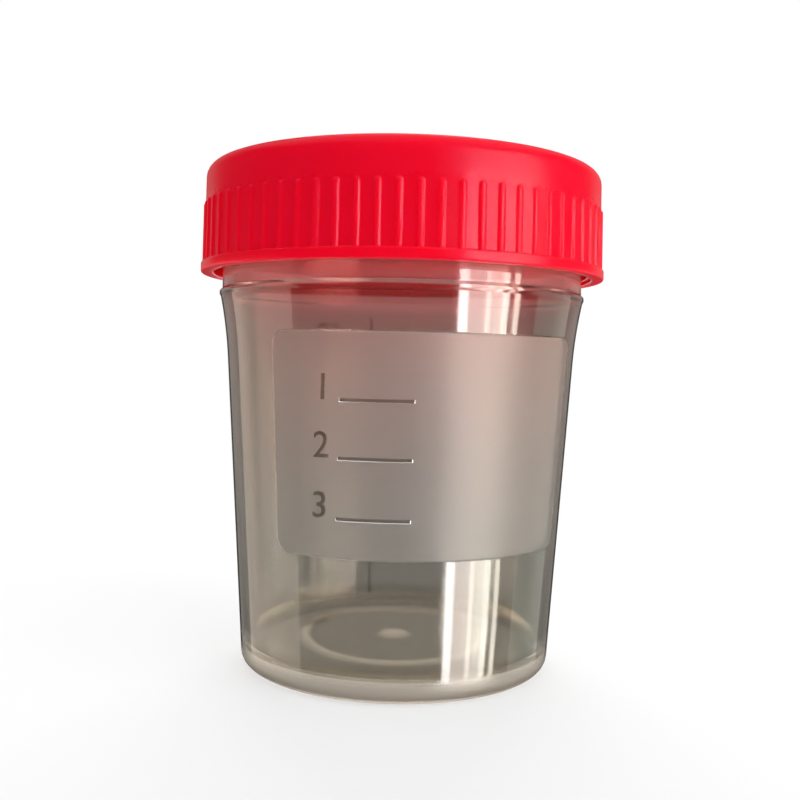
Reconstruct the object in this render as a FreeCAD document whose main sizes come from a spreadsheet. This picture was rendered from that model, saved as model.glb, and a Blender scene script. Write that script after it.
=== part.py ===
import FreeCAD, Part
import Sketcher
import math
import os

# A screw-cap specimen container, in millimetres: a tapered translucent cup and its ribbed lid.
# Z is the axis of both pieces, z = 0 is the plane the foot stands on, and the writing panel faces -Y.

# Driving dimensions: alias, value, meaning

SIZES = [
    ("base_radius", 20.65, "outside of the wall, carried down to the standing plane"),
    ("wall_draft", 3.84, "lean of the wall from the vertical, in degrees"),
    ("wall", 1.0, "thickness of the cup's wall"),
    ("floor_thickness", 1.2, "thickness of the cup's floor"),
    ("foot_recess", 1.45, "height of the floor's underside above the standing plane"),
    ("foot_corner", 2.0, "rounding where the wall turns into the foot"),
    ("foot_land", 1.0, "flat width of the ring the cup stands on"),
    ("floor_corner", 1.4, "rounding inside the cup where wall and floor meet"),
    ("ring_radius", 12.3, "middle of the rib round the floor"),
    ("ring_width", 1.8, "width of that rib"),
    ("ring_rise", 0.5, "height of that rib"),
    ("nub_radius", 2.3, "edge of the gate mark in the middle of the floor"),
    ("nub_rise", 0.7, "height of the gate mark"),
    ("shoulder_start", 40.8, "height where the straight wall begins to flare"),
    ("shoulder_curve", 60.0, "radius of the flare, seen in section"),
    ("bead_height", 48.9, "height where the flare meets the bead"),
    ("bead_width", 1.1, "height of the bead from edge to edge"),
    ("bead_rise", 0.17, "how far the bead stands out of the flare's end"),
    ("neck_inset", 0.19, "how far the plain neck stands back from the flare's end"),
    ("mouth_blend", 8.0, "easing inside, where the flare meets the neck"),
    ("rim_height", 64.7, "height of the rim, which the lid closes on"),
    ("rim_bevel", 0.25, "bevel of the rim's two edges"),
    ("panel_arc", 105.0, "how far the writing panel goes round, in degrees"),
    ("panel_low", 17.4, "lower edge of the panel"),
    ("panel_high", 44.1, "upper edge of the panel"),
    ("panel_corner", 2.0, "corner radius of the panel"),
    ("panel_rise", 0.15, "how far the panel stands out of the wall"),
    ("mark_width", 0.35, "width of the lines of the scale"),
    ("mark_rise", 0.15, "how far the lines of the scale stand out"),
    ("mark_root", 0.4, "how deep panel and scale are rooted in the wall"),
    ("full_level", 45.0, "height of the scale's highest mark, at 60 ml"),
    ("scale_low", 3.2, "lower end of the scale's upright line"),
    ("scale_over", 2.6, "how far that line goes on above the highest mark"),
    ("ml_long_tick", 4.3, "length of the marks at every 20 ml"),
    ("ml_short_tick", 2.3, "length of the marks half way between those"),
    ("ounce_long_tick", 3.3, "length of the marks at every fluid ounce"),
    ("ounce_short_tick", 2.0, "length of the marks at every half ounce"),
    ("skirt_depth", 12.7, "from the lid's seat on the rim down to its lower edge"),
    ("top_thickness", 1.55, "thickness of the lid's top"),
    ("top_round", 1.7, "rounding of the lid's upper edge"),
    ("skirt_wall", 1.22, "thickness of the skirt between the ribs, just above the flange"),
    ("skirt_draft", 0.4, "lean of the skirt, in degrees"),
    ("thread_room", 1.25, "free width between neck and skirt, where the thread runs"),
    ("flange_proud", 0.43, "how far the lid's lower flange stands out of the skirt"),
    ("flange_height", 1.3, "height of that flange"),
    ("flange_bevel", 0.2, "bevel of the flange's lower edge"),
    ("seal_gap", 0.2, "clearance between the plug seal and the mouth"),
    ("seal_wall", 0.8, "thickness of the plug seal"),
    ("seal_depth", 2.2, "how far the plug seal reaches into the mouth"),
    ("seal_lead", 0.3, "how far the plug seal's end tapers in"),
    ("rib_count", 70, "number of grip ribs"),
    ("rib_width", 0.95, "width of a grip rib at its foot"),
    ("rib_rise", 0.3, "how far a rib stands out of the skirt at the flange"),
    ("rib_top_gap", 5.05, "plain band between the ribs' upper ends and the lid's top"),
    ("rib_root", 0.4, "how deep a rib is rooted in the skirt and the flange"),
    ("rib_flank", 18.0, "slope of a rib's sides, in degrees"),
]

# The scale's units: its highest mark and the fluid ounce, in millilitres

FULL_ML = 60
ML_PER_OUNCE = 29.5735
CUBIC_MM_PER_ML = 1000

FULL_TURN = 360
NEARLY = 1e-4

doc = FreeCAD.newDocument("SpecimenContainer")
sheet = doc.addObject("Spreadsheet::Sheet", "Sizes")
for row, (alias, value, meaning) in enumerate(SIZES, start=1):
    sheet.set(f"A{row}", alias)
    sheet.set(f"B{row}", str(value))
    sheet.set(f"C{row}", meaning)
    sheet.setAlias(f"B{row}", alias)
doc.recompute()


def size(expression):
    """The number that an expression of the sheet's cells gives."""
    found = sheet.evalExpression(expression)
    return float(getattr(found, "Value", found))


# Lines that the pieces share, written as expressions of the cells

def wall_at(height):
    """Outside radius of the straight wall at a height."""
    return f"(Sizes.base_radius + ({height}) * tan(Sizes.wall_draft))"


def flare_at(height):
    """Outside radius of the flared shoulder: an arc that leaves the straight wall smoothly."""
    risen = f"(({height}) - Sizes.shoulder_start) / Sizes.shoulder_curve"
    turned = f"asin(sin(Sizes.wall_draft) + {risen})"
    bend = f"Sizes.shoulder_curve * (cos(Sizes.wall_draft) - cos({turned}))"
    return f"({wall_at('Sizes.shoulder_start')} + {bend})"


FLOOR_TOP = "(Sizes.foot_recess + Sizes.floor_thickness)"
FLOOR_EDGE = f"({wall_at(FLOOR_TOP)} - Sizes.wall)"
FOOT_INSIDE = "(Sizes.base_radius - Sizes.foot_corner - Sizes.foot_land)"
BEAD_TOP = "(Sizes.bead_height + Sizes.bead_width)"
FLARE_END = flare_at("Sizes.bead_height")
NECK_RADIUS = f"({FLARE_END} - Sizes.neck_inset)"
MOUTH_RADIUS = f"({FLARE_END} - Sizes.wall)"
BORE_RADIUS = f"({NECK_RADIUS} + Sizes.thread_room)"
SKIRT_RADIUS = f"({BORE_RADIUS} + Sizes.skirt_wall)"


def level_of(millilitres):
    """Height of a mark: the inside is a frustum, so the cube of the surface's radius follows the volume."""
    full_radius = f"({FLOOR_EDGE} + (Sizes.full_level - {FLOOR_TOP}) * tan(Sizes.wall_draft))"
    full_share = f"{millilitres / FULL_ML} * (pow({full_radius}; 3) - pow({FLOOR_EDGE}; 3))"
    surface_radius = f"cbrt(pow({FLOOR_EDGE}; 3) + {full_share})"
    return f"({FLOOR_TOP} + ({surface_radius} - {FLOOR_EDGE}) / tan(Sizes.wall_draft))"


# Helpers for sketches and features

def origin_part(body, role):
    """A base plane or axis of a body, found by its role."""
    return next(item for item in body.Origin.OriginFeatures if item.Role == role)


def new_body(label):
    """An empty body with a label of its own."""
    body = doc.addObject("PartDesign::Body", label)
    body.Label = label
    return body


def new_sketch(body, name, plane):
    """An empty sketch on one of the body's own base planes."""
    sketch = body.newObject("Sketcher::SketchObject", name)
    sketch.AttachmentSupport = [(origin_part(body, plane), "")]
    sketch.MapMode = "FlatFace"
    return sketch


def constrain(sketch, *parts, expression=None):
    """Add a constraint, driven by an expression where one is given."""
    index = sketch.addConstraint(Sketcher.Constraint(*parts))
    if expression:
        sketch.setExpression(f"Constraints[{index}]", expression)


def pin(sketch, edge, end, across, upwards):
    """Hold one end of an edge at a place given by two expressions."""
    origin, horizontal_axis, vertical_axis, centre_point = -1, -1, -2, 1
    for kind, place, axis in (("DistanceX", across, vertical_axis), ("DistanceY", upwards, horizontal_axis)):
        if place == "0":
            constrain(sketch, "PointOnObject", edge, end, axis)
        else:
            constrain(sketch, kind, origin, centre_point, edge, end, size(place), expression=place)


def arc_between(start, finish, radius, bulge):
    """The short arc between two points, bulging to the left or the right of the way between them."""
    chord = finish - start
    half = chord.Length / 2
    sideways = FreeCAD.Vector(-chord.y, chord.x, 0).normalize()
    towards_centre = -1 if bulge == "left" else 1
    centre = (start + finish) / 2 + sideways * (towards_centre * math.sqrt(radius**2 - half**2))
    first, last = (finish, start) if bulge == "left" else (start, finish)
    angles = [math.atan2(point.y - centre.y, point.x - centre.x) for point in (first, last)]
    circle = Part.Circle(centre, FreeCAD.Vector(0, 0, 1), radius)
    return Part.ArcOfCircle(circle, *angles)


def draw_outline(sketch, corners, arcs=None):
    """A closed outline through corners given as expressions.

    arcs names the sides that are arcs: the side's number, its radius and the way it bulges.
    """
    arcs = arcs or {}
    places = [FreeCAD.Vector(size(across), size(upwards), 0) for across, upwards in corners]
    begins, ends = [], []
    for side, start in enumerate(places):
        finish = places[(side + 1) % len(places)]
        if side in arcs:
            radius, bulge = arcs[side]
            edge = sketch.addGeometry(arc_between(start, finish, size(radius), bulge))
            begins.append((edge, 2 if bulge == "left" else 1))
            ends.append((edge, 1 if bulge == "left" else 2))
        else:
            edge = sketch.addGeometry(Part.LineSegment(start, finish))
            begins.append((edge, 1))
            ends.append((edge, 2))
    for side, begin in enumerate(begins):
        constrain(sketch, "Coincident", *ends[side - 1], *begin)
    for begin, (across, upwards) in zip(begins, corners):
        pin(sketch, *begin, across, upwards)
    for side, (radius, bulge) in arcs.items():
        constrain(sketch, "Radius", begins[side][0], size(radius), expression=radius)


def revolve(body, name, sketch, angle=str(FULL_TURN), both_ways=False, other_way=False):
    """Turn an outline about the Z axis."""
    feature = body.newObject("PartDesign::Revolution", name)
    feature.Profile = sketch
    feature.ReferenceAxis = (sketch, ["V_Axis"])
    feature.Midplane = both_ways
    feature.Reversed = other_way
    feature.setExpression("Angle", angle)
    doc.recompute()
    return feature


def round_edges(body, name, base, edges, radius):
    """Round some edges of the feature before."""
    feature = body.newObject("PartDesign::Fillet", name)
    feature.Base = (base, edges)
    feature.setExpression("Radius", radius)
    doc.recompute()
    return feature


def bevel_edges(body, name, base, edges, width):
    """Bevel some edges of the feature before."""
    feature = body.newObject("PartDesign::Chamfer", name)
    feature.Base = (base, edges)
    feature.setExpression("Size", width)
    doc.recompute()
    return feature


def circles(feature, *places):
    """The round edges of a feature that have a given radius and height."""
    wanted = [(size(radius), size(height)) for radius, height in places]
    found = []
    for number, edge in enumerate(feature.Shape.Edges, start=1):
        if edge.Degenerated or not isinstance(edge.Curve, Part.Circle):
            continue
        for radius, height in wanted:
            same_radius = abs(edge.Curve.Radius - radius) < NEARLY
            if same_radius and abs(edge.Curve.Center.z - height) < NEARLY:
                found.append(f"Edge{number}")
    return found


# The cup: one moulding, with its foot, floor, flared shoulder, bead, neck and rim

def make_cup_section(body):
    """Half of the cup's section, from the middle of the underside round by the rim and back."""
    sketch = new_sketch(body, "cup_section", "XZ_Plane")
    bead_nose = f"({FLARE_END} + Sizes.bead_rise)"
    ring_inside = "(Sizes.ring_radius - Sizes.ring_width / 2)"
    ring_outside = "(Sizes.ring_radius + Sizes.ring_width / 2)"
    ring_top_inside = "(Sizes.ring_radius - Sizes.ring_width / 6)"
    ring_top_outside = "(Sizes.ring_radius + Sizes.ring_width / 6)"
    ring_top = f"({FLOOR_TOP} + Sizes.ring_rise)"
    nub_arc = "(Sizes.nub_rise / 2 + pow(Sizes.nub_radius; 2) / 2 / Sizes.nub_rise)"
    corners = [
        ("0", "Sizes.foot_recess"),
        (f"({FOOT_INSIDE} - Sizes.foot_recess)", "Sizes.foot_recess"),
        (FOOT_INSIDE, "0"),
        ("Sizes.base_radius", "0"),
        (wall_at("Sizes.shoulder_start"), "Sizes.shoulder_start"),
        (FLARE_END, "Sizes.bead_height"),
        (bead_nose, "(Sizes.bead_height + Sizes.bead_width / 3)"),
        (bead_nose, "(Sizes.bead_height + Sizes.bead_width * 2 / 3)"),
        (NECK_RADIUS, BEAD_TOP),
        (NECK_RADIUS, "Sizes.rim_height"),
        (MOUTH_RADIUS, "Sizes.rim_height"),
        (MOUTH_RADIUS, "Sizes.bead_height"),
        (f"({wall_at('Sizes.shoulder_start')} - Sizes.wall)", "Sizes.shoulder_start"),
        (FLOOR_EDGE, FLOOR_TOP),
        (ring_outside, FLOOR_TOP),
        (ring_top_outside, ring_top),
        (ring_top_inside, ring_top),
        (ring_inside, FLOOR_TOP),
        ("Sizes.nub_radius", FLOOR_TOP),
        ("0", f"({FLOOR_TOP} + Sizes.nub_rise)"),
    ]
    shoulder, inner_shoulder, nub = 4, 11, 18
    arcs = {
        shoulder: ("Sizes.shoulder_curve", "left"),
        inner_shoulder: ("Sizes.shoulder_curve", "right"),
        nub: (nub_arc, "right"),
    }
    draw_outline(sketch, corners, arcs)
    return sketch


def make_panel():
    """The frosted writing panel: a strip of the wall, a little proud, with rounded corners."""
    body = new_body("panel_strip")
    sketch = new_sketch(body, "panel_section", "YZ_Plane")
    rise, root = "Sizes.panel_rise", "Sizes.mark_root"
    corners = [
        (f"({wall_at('Sizes.panel_low')} - {root})", "Sizes.panel_low"),
        (f"({wall_at('Sizes.panel_low')} + {rise})", "Sizes.panel_low"),
        (f"({wall_at('Sizes.shoulder_start')} + {rise})", "Sizes.shoulder_start"),
        (f"({flare_at('Sizes.panel_high')} + {rise})", "Sizes.panel_high"),
        (f"({flare_at('Sizes.panel_high')} - {root})", "Sizes.panel_high"),
        (f"({wall_at('Sizes.shoulder_start')} - {root})", "Sizes.shoulder_start"),
    ]
    arcs = {2: ("Sizes.shoulder_curve", "left"), 4: ("Sizes.shoulder_curve", "right")}
    draw_outline(sketch, corners, arcs)
    strip = revolve(body, "panel_band", sketch, "Sizes.panel_arc", both_ways=True)
    corner_edges = []
    for number, edge in enumerate(strip.Shape.Edges, start=1):
        ends = [vertex.Point.z for vertex in edge.Vertexes]
        if isinstance(edge.Curve, Part.Line) and abs(ends[0] - ends[1]) < NEARLY:
            corner_edges.append(f"Edge{number}")
    round_edges(body, "panel_corners", strip, corner_edges, "Sizes.panel_corner")
    half_turn = FreeCAD.Rotation(FreeCAD.Vector(0, 0, 1), FULL_TURN / 2)
    body.Placement = FreeCAD.Placement(FreeCAD.Vector(), half_turn)
    return body


def make_scale():
    """The raised scale opposite the panel: an upright line, millilitres on one side, ounces on the other."""
    body = new_body("scale_lines")
    rise, root, half_width = "Sizes.mark_rise", "Sizes.mark_root", "Sizes.mark_width / 2"
    sketch = new_sketch(body, "scale_line_section", "YZ_Plane")
    scale_high = "(Sizes.full_level + Sizes.scale_over)"
    corners = [
        (f"({wall_at('Sizes.scale_low')} - {root})", "Sizes.scale_low"),
        (f"({wall_at('Sizes.scale_low')} + {rise})", "Sizes.scale_low"),
        (f"({wall_at('Sizes.shoulder_start')} + {rise})", "Sizes.shoulder_start"),
        (f"({flare_at(scale_high)} + {rise})", scale_high),
        (f"({flare_at(scale_high)} - {root})", scale_high),
        (f"({wall_at('Sizes.shoulder_start')} - {root})", "Sizes.shoulder_start"),
    ]
    arcs = {2: ("Sizes.shoulder_curve", "left"), 4: ("Sizes.shoulder_curve", "right")}
    draw_outline(sketch, corners, arcs)
    around = f"Sizes.mark_width / {wall_at('Sizes.shoulder_start')} * 180 / pi"
    revolve(body, "scale_line", sketch, around, both_ways=True)

    rows = [
        ("ml_long", (20, 40, 60), 1, "Sizes.ml_long_tick", False),
        ("ml_short", (10, 30, 50), 1, "Sizes.ml_short_tick", False),
        ("ounce_long", (1, 2), ML_PER_OUNCE, "Sizes.ounce_long_tick", True),
        ("ounce_short", (0.5, 1.5), ML_PER_OUNCE, "Sizes.ounce_short_tick", True),
    ]
    for name, volumes, unit, length, other_way in rows:
        for number, volume in enumerate(volumes, start=1):
            level = level_of(volume * unit)
            radius = flare_at(level) if size(level) > size("Sizes.shoulder_start") else wall_at(level)
            low, high = f"({level} - {half_width})", f"({level} + {half_width})"
            tick = new_sketch(body, f"{name}_section_{number}", "YZ_Plane")
            inside, outside = f"({radius} - {root})", f"({radius} + {rise})"
            draw_outline(tick, [(inside, low), (outside, low), (outside, high), (inside, high)])
            turned = f"{length} / {radius} * 180 / pi"
            revolve(body, f"{name}_tick_{number}", tick, turned, other_way=other_way)
    return body


def make_cup():
    """The cup, with panel and scale moulded on its wall."""
    body = new_body("cup")
    shell = revolve(body, "cup_shell", make_cup_section(body))
    soft_edges = [
        ("foot_corner", [("Sizes.base_radius", "0")]),
        ("floor_corner", [(FLOOR_EDGE, FLOOR_TOP)]),
        ("mouth_blend", [(MOUTH_RADIUS, "Sizes.bead_height")]),
    ]
    last = shell
    for alias, places in soft_edges:
        last = round_edges(body, f"{alias}_fillet", last, circles(last, *places), f"Sizes.{alias}")
    rim_edges = circles(last, (NECK_RADIUS, "Sizes.rim_height"), (MOUTH_RADIUS, "Sizes.rim_height"))
    bevel_edges(body, "rim_bevels", last, rim_edges, "Sizes.rim_bevel")
    joined = body.newObject("PartDesign::Boolean", "panel_and_scale")
    joined.Type = "Fuse"
    joined.Group = [make_panel(), make_scale()]
    doc.recompute()
    body.Tip = joined
    return body


# The lid: one moulding, with its flange, grip ribs and plug seal. It is drawn from its seat on the rim

def make_lid():
    """The screw lid; its frame lies in the plane where it closes on the rim."""
    body = new_body("lid")
    body.setExpression("Placement.Base.z", "Sizes.rim_height")
    sketch = new_sketch(body, "lid_section", "XZ_Plane")
    low, flange_top = "(-Sizes.skirt_depth)", "(Sizes.flange_height - Sizes.skirt_depth)"
    skirt_rise = f"(Sizes.top_thickness - {flange_top})"
    upper_radius = f"({SKIRT_RADIUS} - {skirt_rise} * tan(Sizes.skirt_draft))"
    flange_radius = f"({SKIRT_RADIUS} + Sizes.flange_proud)"
    seal_outside = f"({MOUTH_RADIUS} - Sizes.seal_gap)"
    seal_inside = f"({seal_outside} - Sizes.seal_wall)"
    corners = [
        ("0", "Sizes.top_thickness"),
        ("0", "0"),
        (seal_inside, "0"),
        (seal_inside, "(-Sizes.seal_depth)"),
        (f"({seal_outside} - Sizes.seal_lead)", "(-Sizes.seal_depth)"),
        (seal_outside, "(Sizes.seal_lead - Sizes.seal_depth)"),
        (seal_outside, "0"),
        (BORE_RADIUS, "0"),
        (BORE_RADIUS, low),
        (flange_radius, low),
        (flange_radius, flange_top),
        (SKIRT_RADIUS, flange_top),
        (upper_radius, "Sizes.top_thickness"),
    ]
    draw_outline(sketch, corners)
    cap = revolve(body, "lid_shell", sketch)
    top_edge = circles(cap, (upper_radius, "Sizes.top_thickness"))
    rounded = round_edges(body, "top_fillet", cap, top_edge, "Sizes.top_round")
    bevel_edges(body, "flange_bevels", rounded, circles(rounded, (flange_radius, low)), "Sizes.flange_bevel")
    make_grip(body, flange_top)
    return body


def make_grip(body, flange_top):
    """One upright rib with sloping sides and a rounded upper end, repeated all round the skirt."""
    sketch = new_sketch(body, "rib_face", "YZ_Plane")
    sketch.setExpression("AttachmentOffset.Base.z", f"{SKIRT_RADIUS} - Sizes.rib_root")
    half, foot = "Sizes.rib_width / 2", f"({flange_top} - Sizes.rib_root)"
    shoulder = "(Sizes.top_thickness - Sizes.rib_top_gap - Sizes.rib_width / 2)"
    corners = [(f"(-{half})", foot), (half, foot), (half, shoulder), (f"(-{half})", shoulder)]
    draw_outline(sketch, corners, {2: ("(Sizes.rib_width / sqrt(3))", "right")})
    rib = body.newObject("PartDesign::Pad", "rib")
    rib.Profile = sketch
    rib.setExpression("Length", "Sizes.rib_root + Sizes.rib_rise")
    rib.setExpression("TaperAngle", "-Sizes.rib_flank")
    doc.recompute()
    ribs = body.newObject("PartDesign::PolarPattern", "grip_ribs")
    ribs.Originals = [rib]
    ribs.Axis = (origin_part(body, "Z_Axis"), [""])
    ribs.Angle = FULL_TURN
    ribs.setExpression("Occurrences", "Sizes.rib_count")
    body.Tip = ribs
    doc.recompute()


pieces = [make_cup(), make_lid()]
doc.recompute()

for item in doc.Objects:
    if "Invalid" in item.State or "Error" in item.State:
        raise RuntimeError(f"{item.Label} did not build: {item.State}")
for piece in pieces:
    if piece.Shape.isNull() or not piece.Shape.isValid():
        raise RuntimeError(f"{piece.Label} has no valid shape")

os.makedirs("parts", exist_ok=True)
for piece in pieces:
    piece.Shape.exportStep(f"parts/{piece.Label}.step")
    box = piece.Shape.optimalBoundingBox()
    print(f"{piece.Label}: {piece.Shape.Volume / CUBIC_MM_PER_ML:.2f} ml of plastic,",
          f"{len(piece.Shape.Solids)} solid, z {box.ZMin:.2f} to {box.ZMax:.2f}, width {box.XLength:.2f}")
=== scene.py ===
# %% [markdown]
# # A screw-cap specimen container
#
# The object is a small translucent cup with a ribbed red screw lid, about as tall as an egg cup. This
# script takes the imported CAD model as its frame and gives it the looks: smooth moulded skins, fine raised
# marks, threads, plastics, light and a camera. Lengths are in metres, Z is the axis of both pieces, and
# the writing panel faces -Y.

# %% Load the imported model
import math

import bmesh
import bpy
import numpy as np
from mathutils import Matrix, Vector


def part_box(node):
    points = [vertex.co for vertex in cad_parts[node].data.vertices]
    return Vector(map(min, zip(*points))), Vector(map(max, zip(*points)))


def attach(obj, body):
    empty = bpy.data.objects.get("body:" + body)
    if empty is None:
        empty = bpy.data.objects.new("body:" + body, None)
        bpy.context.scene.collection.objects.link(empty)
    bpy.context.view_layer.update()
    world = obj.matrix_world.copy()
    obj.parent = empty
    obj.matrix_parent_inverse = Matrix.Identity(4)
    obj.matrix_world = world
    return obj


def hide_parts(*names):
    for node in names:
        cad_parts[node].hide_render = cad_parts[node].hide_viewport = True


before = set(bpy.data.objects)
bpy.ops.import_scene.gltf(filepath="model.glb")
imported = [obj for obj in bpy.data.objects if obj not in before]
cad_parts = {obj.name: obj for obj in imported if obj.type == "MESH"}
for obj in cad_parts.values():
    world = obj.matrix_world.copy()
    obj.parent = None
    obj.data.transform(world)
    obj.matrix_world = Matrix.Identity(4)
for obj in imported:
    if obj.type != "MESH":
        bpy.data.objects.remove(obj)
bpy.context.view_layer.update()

# %% [markdown]
# ## The sizes
#
# The frame already knows how high the rim is and where the lid sits, so those are read from it. The other
# sizes are the ones a drawing of the moulding would carry. Writing them once, by name, lets a rib or a
# panel be changed without hunting through the code.

# %% Sizes read from the frame, and sizes of the moulding
MM = 0.001
RIM_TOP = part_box("cup")[1].z
LID_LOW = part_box("lid")[0].z
LID_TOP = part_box("lid")[1].z
FLANGE_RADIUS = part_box("lid")[1].x

FOOT_RADIUS = 20.65 * MM
FOOT_ROUNDING = 2.0 * MM
FOOT_LAND = 1.0 * MM
FLOOR_UNDERSIDE = 1.45 * MM
FLOOR_TOP = 2.65 * MM
WALL = 1.0 * MM
DRAFT = math.radians(3.84)
SHOULDER = 40.8 * MM
FLARE_CURVE = 60 * MM
BEAD_LOW = 48.9 * MM
BEAD_TOP = 50.0 * MM
BEAD_RISE = 0.17 * MM
NECK_INSET = 0.19 * MM
print(f"rim at {RIM_TOP / MM:.2f} mm, lid from {LID_LOW / MM:.2f} to {LID_TOP / MM:.2f} mm")

# %% [markdown]
# ## The wall's own curve
#
# The wall leans outwards by its mould draft, and above the shoulder it flares along an arc that leaves
# the straight part smoothly. The panel, the scale and its numbers could each carry radii of their own,
# but they would leave the wall when it changes. So all of them ask this one function. The inside wall is
# the same curve, one wall thickness nearer to the axis.

# %% Radius of the outer wall at a height
def wall_radius(height):
    straight = FOOT_RADIUS + np.minimum(height, SHOULDER) * math.tan(DRAFT)
    turned = np.arcsin(math.sin(DRAFT) + np.clip(height - SHOULDER, 0, None) / FLARE_CURVE)
    return straight + FLARE_CURVE * (math.cos(DRAFT) - np.cos(turned))


FLARE_END = float(wall_radius(BEAD_LOW))
NECK_RADIUS = FLARE_END - NECK_INSET
MOUTH_RADIUS = FLARE_END - WALL
print(f"flare ends at radius {FLARE_END / MM:.2f} mm, neck {NECK_RADIUS / MM:.2f} mm")

# %% [markdown]
# ## Outlines with rounded corners
#
# Moulded plastic has no knife edges. A Bevel modifier rounds every edge alike, and a mould doesn't. So
# each piece is drawn as half of its section, a list of corners with a rounding of their own, and this
# helper turns every corner into a short arc. A run between two corners can be divided, so that the skin
# has rows where something will be raised from it later.

# %% Turn corners into a rounded outline
ARC_STEP = math.radians(15)


def rounded_outline(corners):
    """Points (radius, height) along a section. A corner is (radius, height) or (radius, height, rounding)."""
    points = []
    for index, corner in enumerate(corners):
        here = Vector(corner[:2])
        rounding = corner[2] if len(corner) > 2 else 0
        if rounding == 0:
            points.append(here)
            continue
        to_last = (Vector(corners[index - 1][:2]) - here).normalized()
        to_next = (Vector(corners[index + 1][:2]) - here).normalized()
        half_angle = to_last.angle(to_next) / 2
        middle = here + (to_last + to_next).normalized() * rounding / math.sin(half_angle)
        start = here + to_last * rounding / math.tan(half_angle) - middle
        turn = start.angle_signed(here + to_next * rounding / math.tan(half_angle) - middle)
        steps = max(2, math.ceil(abs(turn) / ARC_STEP))
        points += [middle + Matrix.Rotation(-turn * step / steps, 2) @ start for step in range(steps + 1)]
    return [tuple(point) for point in points]


# %% Give an outline more rows
def divided(points, heights):
    """The same outline with extra points where its runs cross the given heights."""
    out = [points[0]]
    for (r0, z0), (r1, z1) in zip(points, points[1:]):
        inside = sorted((z for z in heights if min(z0, z1) + 1e-6 < z < max(z0, z1) - 1e-6), reverse=z1 < z0)
        out += [(r0 + (r1 - r0) * (z - z0) / (z1 - z0), z) for z in inside]
        out.append((r1, z1))
    return out


# %% [markdown]
# ## Turning an outline into a skin
#
# A lathe shape could come from Blender's Screw modifier or from bmesh's spin. Here it is a plain grid of
# rows and columns built with numpy, because the columns are then free to crowd together where a small
# feature needs them, and each point can be pushed outwards by a rule. Where the outline starts or ends on
# the axis, the row shrinks to one point, so the skin is closed.

# %% Objects and angles
def add_object(name, data):
    """An object with this data, linked to the scene."""
    made = bpy.data.objects.new(name, data)
    bpy.context.scene.collection.objects.link(made)
    return made


def evenly_round(step):
    """Angles all round the axis, about one step apart."""
    count = round(2 * math.pi / step)
    return [2 * math.pi * index / count for index in range(count)]


# %% Turn an outline round the axis
def lathe(name, outline, angles, shift=None):
    """A closed skin through the outline turned round Z. shift gives each point's extra radius."""
    rows, columns = np.array(outline), np.array(angles)
    radius = rows[:, :1] + np.zeros(len(columns))
    height = rows[:, 1:] + np.zeros(len(columns))
    if shift is not None:
        radius = radius + shift(radius, height, columns + np.zeros(radius.shape))
    grid = np.stack([radius * np.cos(columns), radius * np.sin(columns), height], axis=-1)
    on_axis = rows[:, 0] < 1e-7
    mesh, skin = bpy.data.meshes.new(name), bmesh.new()
    loops = []
    for row, points in enumerate(grid):
        if on_axis[row]:
            loops.append([skin.verts.new(points[0])] * len(columns))
        else:
            loops.append([skin.verts.new(point) for point in points])
    pairs = list(zip(loops, loops[1:]))
    if not on_axis[0]:
        pairs.append((loops[-1], loops[0]))
    for low, high in pairs:
        for column in range(len(columns)):
            nearby = column - 1
            corners = (low[nearby], low[column], high[column], high[nearby])
            skin.faces.new(dict.fromkeys(corners))
    bmesh.ops.recalc_face_normals(skin, faces=skin.faces)
    for face in skin.faces:
        face.smooth = True
    skin.to_mesh(mesh)
    skin.free()
    piece = add_object(name, mesh)
    print(f"{name}: {len(rows)} rows, {len(columns)} columns, {len(mesh.polygons)} faces")
    return piece


# %% [markdown]
# ## The writing panel
#
# The frosted panel is not a label: it is part of the wall, raised a little and etched in the mould so
# that a pen writes on it. A boolean of a curved pad would leave a hard seam in clear plastic, and light
# would show it. So the wall's own grid is pushed out instead, by a distance measured from the panel's
# rounded outline.

# %% How far inside the panel a point lies
PANEL_HALF_ARC = math.radians(52.5)
PANEL_LOW = 17.4 * MM
PANEL_HIGH = 44.1 * MM
PANEL_CORNER = 2.0 * MM
PANEL_RISE = 0.15 * MM
PANEL_EDGE = 0.16 * MM
PANEL_MIDDLE = -math.pi / 2


def turned_from(middle, angle):
    """Signed angle from a middle direction, between -pi and pi."""
    return (angle - middle + math.pi) % (2 * math.pi) - math.pi


def panel_share(height, angle):
    """1 on the panel, 0 off it, with a smooth step along its rounded edge."""
    across = (np.abs(turned_from(PANEL_MIDDLE, angle)) - PANEL_HALF_ARC) * wall_radius(height)
    along = np.abs(height - (PANEL_LOW + PANEL_HIGH) / 2) - (PANEL_HIGH - PANEL_LOW) / 2
    past_x, past_z = across + PANEL_CORNER, along + PANEL_CORNER
    corner = np.hypot(np.clip(past_x, 0, None), np.clip(past_z, 0, None))
    outside = corner + np.minimum(np.maximum(past_x, past_z), 0) - PANEL_CORNER
    step = np.clip(-outside / PANEL_EDGE, 0, 1)
    return step * step * (3 - 2 * step)


def raise_panel(radius, height, angle):
    on_outside = radius > wall_radius(height) - WALL / 2
    return PANEL_RISE * panel_share(height, angle) * on_outside


# %% [markdown]
# A grid that is fine everywhere would be heavy for nothing. The rows and columns crowd together where the
# panel's edge and its rounded corners run, and stay wide apart elsewhere.

# %% Rows and columns of the cup's grid
FINE = 0.13 * MM
PLAIN_ROW = 1.5 * MM
FLARE_ROW = 0.5 * MM
PLAIN_COLUMN = math.radians(1.05)


def crowd(start, stop, step):
    return list(np.arange(start, stop + step / 2, step))


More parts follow.
